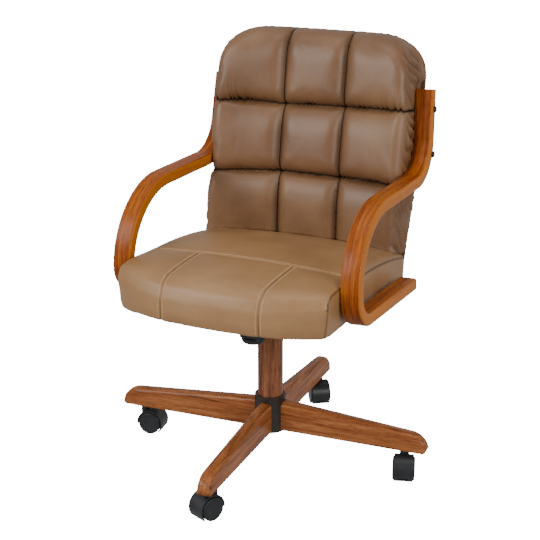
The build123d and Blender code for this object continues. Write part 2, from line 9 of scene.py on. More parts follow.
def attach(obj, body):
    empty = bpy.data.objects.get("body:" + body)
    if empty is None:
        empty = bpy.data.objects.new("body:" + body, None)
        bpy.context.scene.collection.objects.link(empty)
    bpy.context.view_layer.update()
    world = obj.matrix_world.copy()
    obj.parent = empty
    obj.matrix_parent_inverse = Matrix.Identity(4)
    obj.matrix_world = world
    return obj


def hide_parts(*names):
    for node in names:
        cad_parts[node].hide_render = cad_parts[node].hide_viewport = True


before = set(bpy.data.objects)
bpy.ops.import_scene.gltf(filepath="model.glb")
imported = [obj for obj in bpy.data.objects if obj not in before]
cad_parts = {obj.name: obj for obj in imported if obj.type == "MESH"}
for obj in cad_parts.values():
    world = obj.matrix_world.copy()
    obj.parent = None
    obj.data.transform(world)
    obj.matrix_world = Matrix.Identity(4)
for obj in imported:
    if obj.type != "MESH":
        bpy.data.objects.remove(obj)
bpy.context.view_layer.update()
print("frame loaded,", len(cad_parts), "nodes")


# small helpers

def hexColour(text):
    channels = [int(text[i:i + 2], 16) / 255 for i in (1, 3, 5)]
    linear = [c / 12.92 if c <= 0.04045 else ((c + 0.055) / 1.055) ** 2.4 for c in channels]
    return (*linear, 1.0)


def addNode(tree, kind, settings=None, links=None):
    node = tree.nodes.new(kind)
    for name, value in (settings or {}).items():
        if isinstance(name, int) or name in node.inputs:
            node.inputs[name].default_value = value
        else:
            setattr(node, name, value)
    for name, source in (links or {}).items():
        tree.links.new(source, node.inputs[name])
    return node


def newMaterial(name):
    material = bpy.data.materials.new(name)
    material.use_nodes = True
    tree = material.node_tree
    tree.nodes.clear()
    output = tree.nodes.new("ShaderNodeOutputMaterial")
    shader = tree.nodes.new("ShaderNodeBsdfPrincipled")
    tree.links.new(shader.outputs["BSDF"], output.inputs["Surface"])
    return material, tree, shader


def rampColours(ramp, stops):
    points = ramp.color_ramp.elements
    while len(points) < len(stops):
        points.new(0.5)
    for point, (place, colour) in zip(points, stops):
        point.position = place
        point.color = colour


def paint(names, material):
    for name in names:
        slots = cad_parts[name].data.materials
        slots.clear()
        slots.append(material)


def deselectAll():
    if bpy.context.object and bpy.context.object.mode != "OBJECT":
        bpy.ops.object.mode_set(mode="OBJECT")
    bpy.ops.object.select_all(action="DESELECT")


def makeActive(piece):
    deselectAll()
    piece.select_set(True)
    bpy.context.view_layer.objects.active = piece


def readPoints(piece):
    points = np.empty(len(piece.data.vertices) * 3)
    piece.data.vertices.foreach_get("co", points)
    return points.reshape(-1, 3)


def writePoints(piece, points):
    piece.data.vertices.foreach_set("co", np.ascontiguousarray(points).ravel())
    piece.data.update()


def smoothStep(low, high, value):
    share = np.clip((value - low) / (high - low), 0, 1)
    return share * share * (3 - 2 * share)


def between(rise, fall, value):
    return smoothStep(*rise, value) * smoothStep(*fall, value)


def nearLine(distance, reach):
    # 1 on the line, dying away within about twice the reach
    return np.exp(-(distance / reach) ** 2)


def finishPiece(piece, material, body, nodes=()):
    piece.data.materials.clear()
    piece.data.materials.append(material)
    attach(piece, body)
    if nodes:
        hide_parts(*nodes)


# finishes

oak = {
    "streakWidth": 0.0084,   # a pair of bands of early and late wood
    "streakLength": 0.16,
    "poreWidth": 0.0011,     # open pores are finer than this, drawn as wide as shows
    "poreLength": 0.022,
}


def stainedOak(name, dark, middle, light, turn=(0, 0, 0), along="X", attribute=None, gloss=0.34):
    # oak sawn along the grain, stained and lacquered: long bands, short dark pores, a satin film on top
    material, tree, shader = newMaterial(name)
    if attribute:
        place = addNode(tree, "ShaderNodeAttribute", {"attribute_name": attribute}).outputs["Vector"]
    else:
        coords = addNode(tree, "ShaderNodeTexCoord").outputs["Object"]
        place = addNode(tree, "ShaderNodeMapping", {"Rotation": turn}, {"Vector": coords}).outputs["Vector"]
    axis = "XYZ".index(along)

    def stretched(width, length):
        scale = [1 / width] * 3
        scale[axis] = 1 / length
        return addNode(tree, "ShaderNodeMapping", {"Scale": scale}, {"Vector": place}).outputs["Vector"]

    bands = addNode(tree, "ShaderNodeTexNoise",
                    {"Scale": 1.0, "Detail": 3.0, "Roughness": 0.55, "Distortion": 0.6},
                    {"Vector": stretched(oak["streakWidth"], oak["streakLength"])})
    bandRamp = addNode(tree, "ShaderNodeValToRGB", links={"Fac": bands.outputs["Fac"]})
    rampColours(bandRamp, [(0.28, hexColour(dark)), (0.48, hexColour(middle)), (0.72, hexColour(light))])
    pores = addNode(tree, "ShaderNodeTexNoise", {"Scale": 1.0, "Detail": 2.0, "Roughness": 0.6},
                    {"Vector": stretched(oak["poreWidth"], oak["poreLength"])})
    poreRamp = addNode(tree, "ShaderNodeValToRGB", links={"Fac": pores.outputs["Fac"]})
    rampColours(poreRamp, [(0.36, (0.42, 0.36, 0.32, 1)), (0.5, (1, 1, 1, 1))])
    grain = addNode(tree, "ShaderNodeMix", {"data_type": "RGBA", "blend_type": "MULTIPLY", "Factor": 0.75},
                    {"A": bandRamp.outputs["Color"], "B": poreRamp.outputs["Color"]})
    tree.links.new(grain.outputs[2], shader.inputs["Base Color"])
    rough = addNode(tree, "ShaderNodeMapRange", {"To Min": gloss - 0.05, "To Max": gloss + 0.09},
                    {"Value": bands.outputs["Fac"]})
    tree.links.new(rough.outputs["Result"], shader.inputs["Roughness"])
    bump = addNode(tree, "ShaderNodeBump", {"Strength": 0.08, "Distance": 0.0004},
                   {"Height": pores.outputs["Fac"]})
    tree.links.new(bump.outputs["Normal"], shader.inputs["Normal"])
    shader.inputs["Specular IOR Level"].default_value = 0.18
    shader.inputs["Coat Weight"].default_value = 0.05
    shader.inputs["Coat Roughness"].default_value = 0.16
    return material


vinyl = {
    "cloud": 0.11,           # broad, faint changes of tone
    "pebble": 0.0018,        # embossed grain, drawn coarser than the real one so that it shows
    "crumple": 0.018,        # soft unevenness of the skin over the foam
}


def tanLeatherette(name, shade, base, light, creaseShadeColour):
    # embossed vinyl over foam: fine pebble grain, soft satin gleam, painted shade where a seam pulls in
    material, tree, shader = newMaterial(name)
    place = addNode(tree, "ShaderNodeTexCoord").outputs["Object"]
    clouds = addNode(tree, "ShaderNodeTexNoise",
                     {"Scale": 1 / vinyl["cloud"], "Detail": 3.0, "Roughness": 0.5}, {"Vector": place})
    tone = addNode(tree, "ShaderNodeValToRGB", links={"Fac": clouds.outputs["Fac"]})
    rampColours(tone, [(0.3, hexColour(shade)), (0.5, hexColour(base)), (0.72, hexColour(light))])
    pebbles = addNode(tree, "ShaderNodeTexVoronoi",
                      {"feature": "SMOOTH_F1", "Scale": 1 / vinyl["pebble"], "Smoothness": 0.6},
                      {"Vector": place})
    speckle = addNode(tree, "ShaderNodeMapRange",
                      {"From Min": 0.1, "From Max": 0.8, "To Min": 1.04, "To Max": 0.93},
                      {"Value": pebbles.outputs["Distance"]})
    grained = addNode(tree, "ShaderNodeMix", {"data_type": "RGBA", "blend_type": "MULTIPLY", "Factor": 1.0},
                      {"A": tone.outputs["Color"], "B": speckle.outputs["Result"]})
    # painted shade: a near-black colour mixed in where the attribute marks seams and folds
    creaseShade = addNode(tree, "ShaderNodeAttribute", {"attribute_name": "creaseShade"})
    shaded = addNode(tree, "ShaderNodeMix", {"data_type": "RGBA", "B": hexColour(creaseShadeColour)},
                     {"Factor": creaseShade.outputs["Fac"], "A": grained.outputs[2]})
    tree.links.new(shaded.outputs[2], shader.inputs["Base Color"])
    rough = addNode(tree, "ShaderNodeMapRange", {"To Min": 0.38, "To Max": 0.5},
                    {"Value": clouds.outputs["Fac"]})
    tree.links.new(rough.outputs["Result"], shader.inputs["Roughness"])
    # no gleam from deep in a seam
    gleam = addNode(tree, "ShaderNodeMapRange", {"To Min": 0.5, "To Max": 0.03},
                    {"Value": creaseShade.outputs["Fac"]})
    tree.links.new(gleam.outputs["Result"], shader.inputs["Specular IOR Level"])
    crumple = addNode(tree, "ShaderNodeTexNoise",
                      {"Scale": 1 / vinyl["crumple"], "Detail": 3.0, "Roughness": 0.5}, {"Vector": place})
    softBump = addNode(tree, "ShaderNodeBump", {"Strength": 0.12, "Distance": 0.0016},
                       {"Height": crumple.outputs["Fac"]})
    fineBump = addNode(tree, "ShaderNodeBump", {"Strength": 0.12, "Distance": 0.0003},
                       {"Height": pebbles.outputs["Distance"], "Normal": softBump.outputs["Normal"]})
    tree.links.new(fineBump.outputs["Normal"], shader.inputs["Normal"])
    shader.inputs["IOR"].default_value = 1.52
    return material


def sewingThread(name, colour, shadow):
    # twisted polyester: slanted plies, a little sheen
    material, tree, shader = newMaterial(name)
    place = addNode(tree, "ShaderNodeTexCoord").outputs["Object"]
    plyScale = 1 / 0.004     # puts the plies about 1.5 mm apart, wider than real ones, so that they show
    plies = addNode(tree, "ShaderNodeTexWave",
                    {"Scale": plyScale, "Distortion": 0.6, "bands_direction": "DIAGONAL"}, {"Vector": place})
    tone = addNode(tree, "ShaderNodeValToRGB", links={"Fac": plies.outputs["Fac"]})
    rampColours(tone, [(0.2, hexColour(shadow)), (0.7, hexColour(colour))])
    tree.links.new(tone.outputs["Color"], shader.inputs["Base Color"])
    shader.inputs["Roughness"].default_value = 0.55
    shader.inputs["Sheen Weight"].default_value = 0.2
    return material


def speckledFinish(name, dark, light, speck, roughness, metallic=0.0, relief=0.1):
    # paint, moulded plastic or plate: relief at the given speck size, tone and gloss that drift more broadly
    material, tree, shader = newMaterial(name)
    driftSize = 0.03
    place = addNode(tree, "ShaderNodeTexCoord").outputs["Object"]
    fine = addNode(tree, "ShaderNodeTexNoise", {"Scale": 1 / speck, "Detail": 3.0}, {"Vector": place})
    broad = addNode(tree, "ShaderNodeTexNoise", {"Scale": 1 / driftSize, "Detail": 2.0}, {"Vector": place})
    tone = addNode(tree, "ShaderNodeValToRGB", links={"Fac": broad.outputs["Fac"]})
    rampColours(tone, [(0.35, hexColour(dark)), (0.65, hexColour(light))])
    tree.links.new(tone.outputs["Color"], shader.inputs["Base Color"])
    rough = addNode(tree, "ShaderNodeMapRange", {"To Min": roughness - 0.07, "To Max": roughness + 0.07},
                    {"Value": broad.outputs["Fac"]})
    tree.links.new(rough.outputs["Result"], shader.inputs["Roughness"])
    bump = addNode(tree, "ShaderNodeBump", {"Strength": relief, "Distance": speck / 3},
                   {"Height": fine.outputs["Fac"]})
    tree.links.new(bump.outputs["Normal"], shader.inputs["Normal"])
    shader.inputs["Metallic"].default_value = metallic
    return material


def birchPly(name):
    # rotary-cut birch ply: pale and dark layers through the thickness
    material, tree, shader = newMaterial(name)
    place = addNode(tree, "ShaderNodeTexCoord").outputs["Object"]
    layerScale = 53.05       # draws the layers 3 mm thick, twice the real ones, so that they show
    layers = addNode(tree, "ShaderNodeTexWave",
                     {"Scale": layerScale, "Distortion": 0.3, "bands_direction": "Z"}, {"Vector": place})
    tone = addNode(tree, "ShaderNodeValToRGB", links={"Fac": layers.outputs["Fac"]})
    rampColours(tone, [(0.2, hexColour("#9C7448")), (0.8, hexColour("#D2AE7C"))])
    tree.links.new(tone.outputs["Color"], shader.inputs["Base Color"])
    shader.inputs["Roughness"].default_value = 0.7
    return material


baseTurn = math.radians(3.3)
legStain = ("#66371A", "#99592F", "#B27242")
legOakX = stainedOak("stainedOakLegs", *legStain, turn=(0, 0, -baseTurn), along="X", gloss=0.28)
legOakY = stainedOak("stainedOakCrossLegs", *legStain, turn=(0, 0, -baseTurn), along="Y", gloss=0.28)
columnOak = stainedOak("stainedOakColumn", "#593320", "#885438", "#A06C4C", along="Z")
# the last colour of each is the painted shade for seams and folds
seatVinyl = tanLeatherette("seatLeatherette", "#8F6941", "#997148", "#A17A51", "#3A2616")
# the back and rear shell get a darker copy of the same vinyl: painted shade
shadedBackVinyl = tanLeatherette("shadedBackLeatherette", "#6E4D31", "#785538", "#82603F", "#120A05")
thread = sewingThread("tanThread", "#DDBB8C", "#BC9766")
hubPaint = speckledFinish("bronzePowderCoat", "#2E2723", "#3C332D", 0.0011, 0.36, metallic=0.35, relief=0.12)
casterNylon = speckledFinish("blackCasterNylon", "#17181A", "#232528", 0.0012, 0.36, relief=0.1)
knobPlastic = speckledFinish("blackKnobPlastic", "#141619", "#20242A", 0.0012, 0.4, relief=0.12)
blackPaint = speckledFinish("satinBlackPaint", "#131314", "#1C1C1E", 0.0012, 0.4, relief=0.12)
zincPlate = speckledFinish("brightZincPlate", "#A9ABAE", "#C4C5C7", 0.001, 0.3, metallic=1.0, relief=0.06)
bushNylon = speckledFinish("naturalNylon", "#CFC9BC", "#DED9CD", 0.001, 0.45, relief=0.05)
blackRubber = speckledFinish("blackRubber", "#121212", "#1A1A1A", 0.001, 0.75, relief=0.2)
boltBronze = speckledFinish("agedBronzeBolts", "#33251B", "#4A3728", 0.0009, 0.34, metallic=0.7, relief=0.08)
plywood = birchPly("birchPlywood")

corners = ("left", "back", "right", "front")
paint(["leg_left", "leg_right"], legOakX)
paint(["leg_back", "leg_front"], legOakY)
paint(["column_sleeve"], columnOak)
paint(["hub_sleeve", "hub_plate"], hubPaint)
paint(["caster_hood_" + c for c in corners], casterNylon)
paint(["caster_wheel_%s_%d" % (c, n) for c in corners for n in (1, 2)], casterNylon)
paint(["caster_stem_" + c for c in corners] + ["caster_axle_" + c for c in corners], zincPlate)
paint(["leg_screws", "caster_sockets", "column_tube", "spindle", "torsion_lever", "pivot_axle"], zincPlate)
paint(["tension_bolt", "knob_washer", "plate_screws", "bracket_screws"], zincPlate)
paint(["tilt_housing", "top_plate", "arm_brackets"], blackPaint)
paint(["back_bolts"], boltBronze)
paint(["column_bushes"], bushNylon)
paint(["torsion_rubber", "tilt_stop"], blackRubber)
paint(["tension_knob"], knobPlastic)
paint(["seat_board", "back_board"], plywood)
print("materials made,", len(bpy.data.materials))


# camera and light

view = {
    "azimuth": math.radians(25.3466),
    "elevation": math.radians(17.4867),
    "distance": 2.8112,
    "aimZ": 0.47,
    "lens": 89.08,
    "sensor": 36,
    "shiftX": -0.0007,
    "shiftY": -0.0402,
}


def photoCamera():
    aim = Vector((0, 0, view["aimZ"]))
    flat = math.cos(view["elevation"])
    sideways, forwards = math.sin(view["azimuth"]) * flat, -math.cos(view["azimuth"]) * flat
    offset = Vector((sideways, forwards, math.sin(view["elevation"])))
    deselectAll()
    bpy.ops.object.camera_add(location=aim + offset * view["distance"])
    camera = bpy.context.object
    camera.rotation_euler = (-offset).to_track_quat("-Z", "Y").to_euler()
    camera.data.sensor_width = view["sensor"]
    camera.data.lens = view["lens"]
    camera.data.shift_x = view["shiftX"]
    camera.data.shift_y = view["shiftY"]
    bpy.context.scene.camera = camera


def softLight(name, place, aim, size, power):
    deselectAll()
    bpy.ops.object.light_add(type="AREA", location=place)
    lamp = bpy.context.object
    lamp.name = name
    lamp.data.size = size
    lamp.data.energy = power
    lamp.rotation_euler = (Vector(aim) - Vector(place)).to_track_quat("-Z", "Y").to_euler()


room = {
    "size": 30,
    "drop": 0.0005,          # the floor lies this far under the wheels
    "glow": 16.0,
    "ambient": 0.5,
    "white": "#FFFFFF",
}


def paleRoom():
    world = bpy.data.worlds.new("paleRoom")
    bpy.context.scene.world = world
    world.use_nodes = True
    background = world.node_tree.nodes["Background"]
    background.inputs["Color"].default_value = hexColour(room["white"])
    background.inputs["Strength"].default_value = room["ambient"]
    deselectAll()
    bpy.ops.mesh.primitive_cube_add(size=room["size"], location=(0, 0, room["size"] / 2 - room["drop"]))
    floor = bpy.context.object
    floor.name = "paleFloor"        # with walls, so that low views have no horizon
    floorPaint = speckledFinish("palePaper", "#F7F7F6", "#FBFBFA", 0.002, 0.85, relief=0.02)
    shader = floorPaint.node_tree.nodes["Principled BSDF"]
    shader.inputs["Emission Color"].default_value = hexColour(room["white"])
    shader.inputs["Emission Strength"].default_value = room["glow"]
    floor.data.materials.append(floorPaint)
    floor.visible_diffuse = False   # it is blown out to white but doesn't light the chair or shade it
    floor.visible_glossy = False
    floor.visible_shadow = False


photoCamera()
softLight("keyLight", (-1.7, -2.5, 1.9), (0, 0, 0.5), 1.5, 62)
softLight("fillLight", (2.5, -1.3, 1.4), (0, 0, 0.5), 1.4, 40)
softLight("topLight", (0.0, -0.4, 3.0), (0, 0, 0.3), 1.6, 16)
paleRoom()
print("camera and lights set")


# arms: a rounded strip pulled and spun along the bends, then leaned in

arm = {
    "width": 0.040,
    "thickness": 0.026,
    "edge": 0.0048,
    "endRound": 0.0042,
    "outerX": 0.2726,
    "lean": math.radians(2.56),
    "leanZ": 0.5,
    "top": (0.269, 0.783),
    "recline": math.radians(9),
    "restZ": 0.603,
    "uprightBend": 0.088,
    "frontBend": 0.152,
    "frontBendY": -0.020,
    "barSlope": math.radians(2),
    "seatBottom": 0.377,
    "seatGap": 0.0003,
    "barRear": 0.143,
    "stepsPerTurn": 120,
    "smoothAngle": math.radians(35),
    "grainStep": 0.002,      # spacing of the places where the grain's run is worked out
    "otherBoard": 1.7,       # the right arm's grain starts this much further along
    # paler narrow faces: partly the edge grain taking the stain, partly painted light
    "edgeStainAndLightColour": "#D27F1E",
    "edgeStainAndLightFrom": (0.0165, 0.0195),   # out from the middle of the width
    "edgeStainAndLightShare": 0.5,
}


def edgeStainAndLight(material):
    # the narrow faces are made paler than the wide faces: partly the laminations' cut edges taking the stain
    # paler, partly painted light for the side light those faces catch
    tree = material.node_tree
    shader = tree.nodes["Principled BSDF"]
    grain = shader.inputs["Base Color"].links[0].from_socket
    place = addNode(tree, "ShaderNodeAttribute", {"attribute_name": "unbent"}).outputs["Vector"]
    across = addNode(tree, "ShaderNodeSeparateXYZ", links={"Vector": place}).outputs["Y"]
    middle = arm["outerX"] - arm["width"] / 2
    offset = addNode(tree, "ShaderNodeMath", {"operation": "SUBTRACT", 1: middle}, {0: across})
    apart = addNode(tree, "ShaderNodeMath", {"operation": "ABSOLUTE"}, {0: offset.outputs[0]})
    start, end = arm["edgeStainAndLightFrom"]
    edge = addNode(tree, "ShaderNodeMapRange",
                   {"From Min": start, "From Max": end, "To Max": arm["edgeStainAndLightShare"]},
                   {"Value": apart.outputs[0]})
    edgeStainAndLit = addNode(tree, "ShaderNodeMix", {"data_type": "RGBA", "B": hexColour(arm["edgeStainAndLightColour"])},
                    {"Factor": edge.outputs["Result"], "A": grain})
    tree.links.new(edgeStainAndLit.outputs[2], shader.inputs["Base Color"])


def armMoves():
    # straight lengths and bends of the strip's middle line, from the upright's top to the bar's rear
    rise = arm["top"][1] - arm["restZ"]
    cornerY = arm["top"][0] - rise * math.tan(arm["recline"])
    turn = math.pi / 2 - arm["recline"]
    setback = arm["uprightBend"] * math.tan(turn / 2)
    slope = math.tan(arm["barSlope"])
    barBottom = arm["seatBottom"] + arm["seatGap"]
    barMiddle = barBottom + arm["thickness"] / 2 + arm["width"] * math.sin(arm["lean"])
    reach = arm["restZ"] - arm["frontBend"] + (arm["frontBendY"] - arm["frontBend"]) * slope - barMiddle
    lowerBend = reach / (1 - slope)
    barStart = arm["frontBendY"] - arm["frontBend"] + lowerBend
    return [
        ("run", rise / math.cos(arm["recline"]) - setback),
        ("bend", arm["uprightBend"], -turn),
        ("run", cornerY - setback - arm["frontBendY"]),
        ("bend", arm["frontBend"], math.pi / 2),
        ("bend", lowerBend, math.pi / 2 - arm["barSlope"]),
        ("run", arm["barRear"] - barStart),
    ]


def heading(angle):
    return Vector((0, math.cos(angle), math.sin(angle)))


def unbentPlaces(points):
    # each point's place on the strip before bending: along, across and through it
    place = Vector((0, *arm["top"]))
    angle = -math.pi / 2 - arm["recline"]
    spots, tangents, lengths, travelled = [], [], [], 0.0
    for move in armMoves():
        length = move[1] if move[0] == "run" else move[1] * abs(move[2])
        steps = max(8, int(length / arm["grainStep"]))
        for i in range(steps + 1):
            share = i / steps
            if move[0] == "run":
                spot, aim = place + heading(angle) * length * share, angle
            else:
                side = math.copysign(1, move[2])
                centre = place + heading(angle + side * math.pi / 2) * move[1]
                aim = angle + move[2] * share
                spot = centre - heading(aim + side * math.pi / 2) * move[1]
            spots.append(spot[1:3])
            tangents.append(heading(aim)[1:3])
            lengths.append(travelled + length * share)
        place = Vector((0, *spot[1:3]))
        angle = aim
        travelled += length
    spots, tangents, lengths = np.array(spots), np.array(tangents), np.array(lengths)
    near = np.argmin(((points[:, None, 1:3] - spots[None]) ** 2).sum(2), 1)
    offset = points[:, 1:3] - spots[near]
    along = lengths[near] + (offset * tangents[near]).sum(1)
    through = tangents[near][:, 0] * offset[:, 1] - tangents[near][:, 1] * offset[:, 0]
    return np.stack([along, points[:, 0], through], 1)


def bentArm(name):
    deselectAll()
    bpy.ops.mesh.primitive_plane_add(size=1, location=(0, 0, 0))
    piece = bpy.context.object
    piece.name = name
    angle = -math.pi / 2 - arm["recline"]
    place = Vector((arm["outerX"] - arm["width"] / 2, *arm["top"]))
    bpy.ops.object.mode_set(mode="EDIT")
    bpy.ops.mesh.select_all(action="SELECT")
    bpy.ops.transform.resize(value=(arm["width"], arm["thickness"], 1))
    bpy.ops.mesh.bevel(offset=arm["edge"], segments=5, affect="VERTICES")
    bpy.ops.object.mode_set(mode="OBJECT")
    ahead = heading(angle)
    across = Vector((1, 0, 0))
    aim = Matrix((across, ahead.cross(across), ahead)).transposed().to_4x4()
    piece.data.transform(Matrix.Translation(place) @ aim)
    bpy.ops.object.mode_set(mode="EDIT")
    bpy.ops.mesh.select_mode(type="FACE")
    bpy.ops.mesh.select_all(action="SELECT")
    for move in armMoves():
        if move[0] == "run":
            bpy.ops.mesh.extrude_region_move(TRANSFORM_OT_translate={"value": heading(angle) * move[1]})
            place = place + heading(angle) * move[1]
        else:
            side = math.copysign(1, move[2])
            centre = place + heading(angle + side * math.pi / 2) * move[1]
            steps = int(arm["stepsPerTurn"] * abs(move[2]) / (2 * math.pi))
            bpy.ops.mesh.spin(steps=steps, angle=-move[2], center=centre, axis=(1, 0, 0))
            angle += move[2]
            place = centre - heading(angle + side * math.pi / 2) * move[1]
    bpy.ops.mesh.select_all(action="SELECT")
    bpy.ops.mesh.remove_doubles(threshold=0.00001)
    bpy.ops.mesh.select_mode(type="EDGE")
    bpy.ops.mesh.select_all(action="DESELECT")
    bpy.ops.mesh.select_non_manifold()
    bpy.ops.mesh.edge_face_add()
    bpy.ops.mesh.bevel(offset=arm["endRound"], segments=4, affect="EDGES")
    bpy.ops.mesh.select_all(action="SELECT")
    bpy.ops.mesh.normals_make_consistent(inside=False)
    bpy.ops.object.mode_set(mode="OBJECT")
    return piece


def leanedIn(points):
    cos, sin = math.cos(arm["lean"]), math.sin(arm["lean"])
    out = points[:, 0] - arm["outerX"]
    high = points[:, 2] - arm["leanZ"]
    leaned = points.copy()
    leaned[:, 0] = arm["outerX"] + out * cos - high * sin
    leaned[:, 2] = arm["leanZ"] + high * cos + out * sin
    return leaned


def dressArm(piece, node, sign):
    points = readPoints(piece)
    unbent = unbentPlaces(points)
    unbent[:, 0] += arm["otherBoard"] * (sign < 0)
    layer = piece.data.attributes.new("unbent", "FLOAT_VECTOR", "POINT")
    layer.data.foreach_set("vector", unbent.ravel())
    writePoints(piece, leanedIn(points) * (sign, 1, 1))
    makeActive(piece)
    if sign < 0:
        bpy.ops.object.mode_set(mode="EDIT")
        bpy.ops.mesh.select_all(action="SELECT")
        bpy.ops.mesh.flip_normals()
        bpy.ops.object.mode_set(mode="OBJECT")
    bpy.ops.object.shade_smooth_by_angle(angle=arm["smoothAngle"])
    finishPiece(piece, armOak, "seat", [node])


armOak = stainedOak("bentOakArms", "#682B02", "#964708", "#B46718", attribute="unbent", gloss=0.36)
edgeStainAndLight(armOak)
armLeft = bentArm("bentArmLeft")
armRight = armLeft.copy()
armRight.data = armLeft.data.copy()
armRight.name = "bentArmRight"
bpy.context.scene.collection.objects.link(armRight)
dressArm(armLeft, "arm_left", 1)
dressArm(armRight, "arm_right", -1)
print("arms dressed,", len(armLeft.data.vertices), "points each")


# soft pieces: a block pulled to the cover's shape, remeshed, filled by cloth pressure, then sewn and creased

def softBlock(name, cuts, shapeIt):
    deselectAll()
    bpy.ops.mesh.primitive_cube_add(size=2, location=(0, 0, 0))
    piece = bpy.context.object
    piece.name = name
    bpy.ops.object.mode_set(mode="EDIT")
    bpy.ops.mesh.select_all(action="SELECT")
    bpy.ops.mesh.subdivide(number_cuts=cuts)
    bpy.ops.object.mode_set(mode="OBJECT")
    writePoints(piece, shapeIt(readPoints(piece)))
    return piece


def applyRemesh(piece, voxel):
    makeActive(piece)
    remesh = piece.modifiers.new("evenQuads", "REMESH")
    remesh.mode = "VOXEL"
    remesh.voxel_size = voxel
    bpy.ops.object.modifier_apply(modifier=remesh.name)


def applySubdivision(piece):
    makeActive(piece)
    finer = piece.modifiers.new("finer", "SUBSURF")
    finer.levels = 1
    finer.render_levels = 1
    bpy.ops.object.modifier_apply(modifier=finer.name)


padding = {
    "quality": 6,
    "mass": 0.25,
    "tension_stiffness": 18,
    "compression_stiffness": 12,
    "shear_stiffness": 6,
    "bending_stiffness": 0.4,
    "use_pressure": True,
}
paddingFrames = 20


def fillCover(piece, sewn, pressure, cap):
    # the cover swells between its sewn lines, no point by more than the cap
    start = readPoints(piece)
    group = piece.vertex_groups.new(name="sewn")
    group.add([int(i) for i in np.nonzero(sewn)[0]], 1.0, "REPLACE")
    makeActive(piece)
    cloth = piece.modifiers.new("padding", "CLOTH")
    for name, value in padding.items():
        setattr(cloth.settings, name, value)
    cloth.settings.uniform_pressure_force = pressure
    cloth.settings.vertex_group_mass = group.name
    cloth.settings.effector_weights.gravity = 0
    cloth.collision_settings.use_collision = False
    cloth.collision_settings.use_self_collision = False
    cloth.point_cache.frame_end = paddingFrames
    for step in range(1, paddingFrames + 1):
        bpy.context.scene.frame_set(step)
    evaluated = piece.evaluated_get(bpy.context.evaluated_depsgraph_get())
    moved = np.empty(len(start) * 3)
    evaluated.data.vertices.foreach_get("co", moved)
    moved = moved.reshape(-1, 3) - start
    length = np.linalg.norm(moved, axis=1, keepdims=True)
    moved *= cap * np.tanh(length / cap) / np.maximum(length, 1e-9)
    piece.modifiers.remove(cloth)
    bpy.context.scene.frame_set(1)
    writePoints(piece, start + moved)
    piece.vertex_groups.clear()
    print(piece.name, "filled, moved up to", round(float(length.max()) * 1000, 1), "mm before the cap")


def wobble(points, size, shift):
    away = Vector((shift, shift * 1.7, shift * 0.6))
    return np.array([noise.noise(Vector(p) / size + away) for p in points])


def setCreaseShade(piece, values):
    # the share of painted shade at each point
    layer = piece.data.attributes.new("creaseShade", "FLOAT", "POINT")
    layer.data.foreach_set("value", np.clip(values, 0, 1))


def shoulder(distance, reach, power=2.2, lift=0.55):
    # a padded edge beside a seam: steep at the seam, flat once clear of it
    share = np.clip(distance / reach, 0, 1)
    return (1 - (1 - share) ** power) ** lift


def rounded(share):
    # fall of a quarter-round edge, from 0 where it starts to 1 at its end
    return 1 - np.sqrt(1 - share ** 2)


def roundCorners(x, h, width, top, corner):
    # turns a block's two upper corners into arcs, and gives how far each point lies out past their centres
    overSide = np.abs(x) - (width - corner)
    overTop = h - (top - corner)
    inCorner = (overSide > 0) & (overTop > 0)
    reach = np.maximum(overSide, overTop)
    turn = np.arctan2(overTop, overSide)
    x = np.where(inCorner, np.sign(x) * (width - corner + reach * np.cos(turn)), x)
    h = np.where(inCorner, top - corner + reach * np.sin(turn), h)
    return x, h, np.maximum(reach, 0)


def flaredHalf(h, half, lowFlare, highFlare):
    # half width beside the rear shell, which widens upwards in two stages
    return half + lowFlare * smoothStep(-0.05, 0.13, h) + highFlare * smoothStep(0.1, 0.37, h)


# back cushion, worked out in its own frame: across, depth behind the seams, height up the slope

back = {
    "foot": (0.1884, 0.444),
    "recline": arm["recline"],
    "low": 0.004,
    "height": 0.459,
    "crown": 0.003,
    "crownHalf": 0.22,
    "corner": 0.088,
    "depth": 0.062,
    "half": 0.2275,
    "taper": 0.007,              # narrower by this much, over these heights
    "taperHeights": (0.26, 0.4),
    "aside": 0.0045,             # the padding sits this far to the sitter's right
    "asideLow": 0.005,           # and this much more in the lowest row
    "asideHeights": (0.12, 0.07),
    "wrap": 0.026,               # the sides come forward round the sitter
    "tuck": 0.013,               # the lowest row draws back towards its foot
    "footDip": 0.0125,           # the lower edge follows the seat's crown
    "cornerDip": 0.004,          # at both ends, and again at the right end
    "sideRoll": (0.016, 0.012),
    "topRoll": (0.066, 0.046),
    "cuts": 60,
    "voxel": 0.0042,
    "rows": (0.1416, 0.2944),
    "columnSeam": 0.071,
    # how far the hand-sewn cross seams stray up or down, by place across
    "strayAcross": (-0.235, -0.155, -0.071, 0.0, 0.071, 0.235),
    "strayUpper": (-0.007, -0.002, -0.004, -0.001, 0.001, 0.005),
    "strayLower": (-0.012, -0.006, 0.0, 0.0, 0.0, -0.002),
    "puff": 0.032,
    "puffFade": (0.06, 0.42),    # share of the depth over which the puff dies away
    "fullOver": 0.034,           # how soon a panel is full above a seam, below one and beside one
    "fullUnder": 0.07,
    "fullBeside": 0.034,
    "panelEnds": (0.165, 0.212),
    "edgeEase": 0.025,
    "seamSink": 0.004,
    "seamReach": 0.006,
    "sewnRow": 0.0045,
    "sewnColumn": 0.0035,
    "pressure": 2.0,
    "cap": 0.004,
}
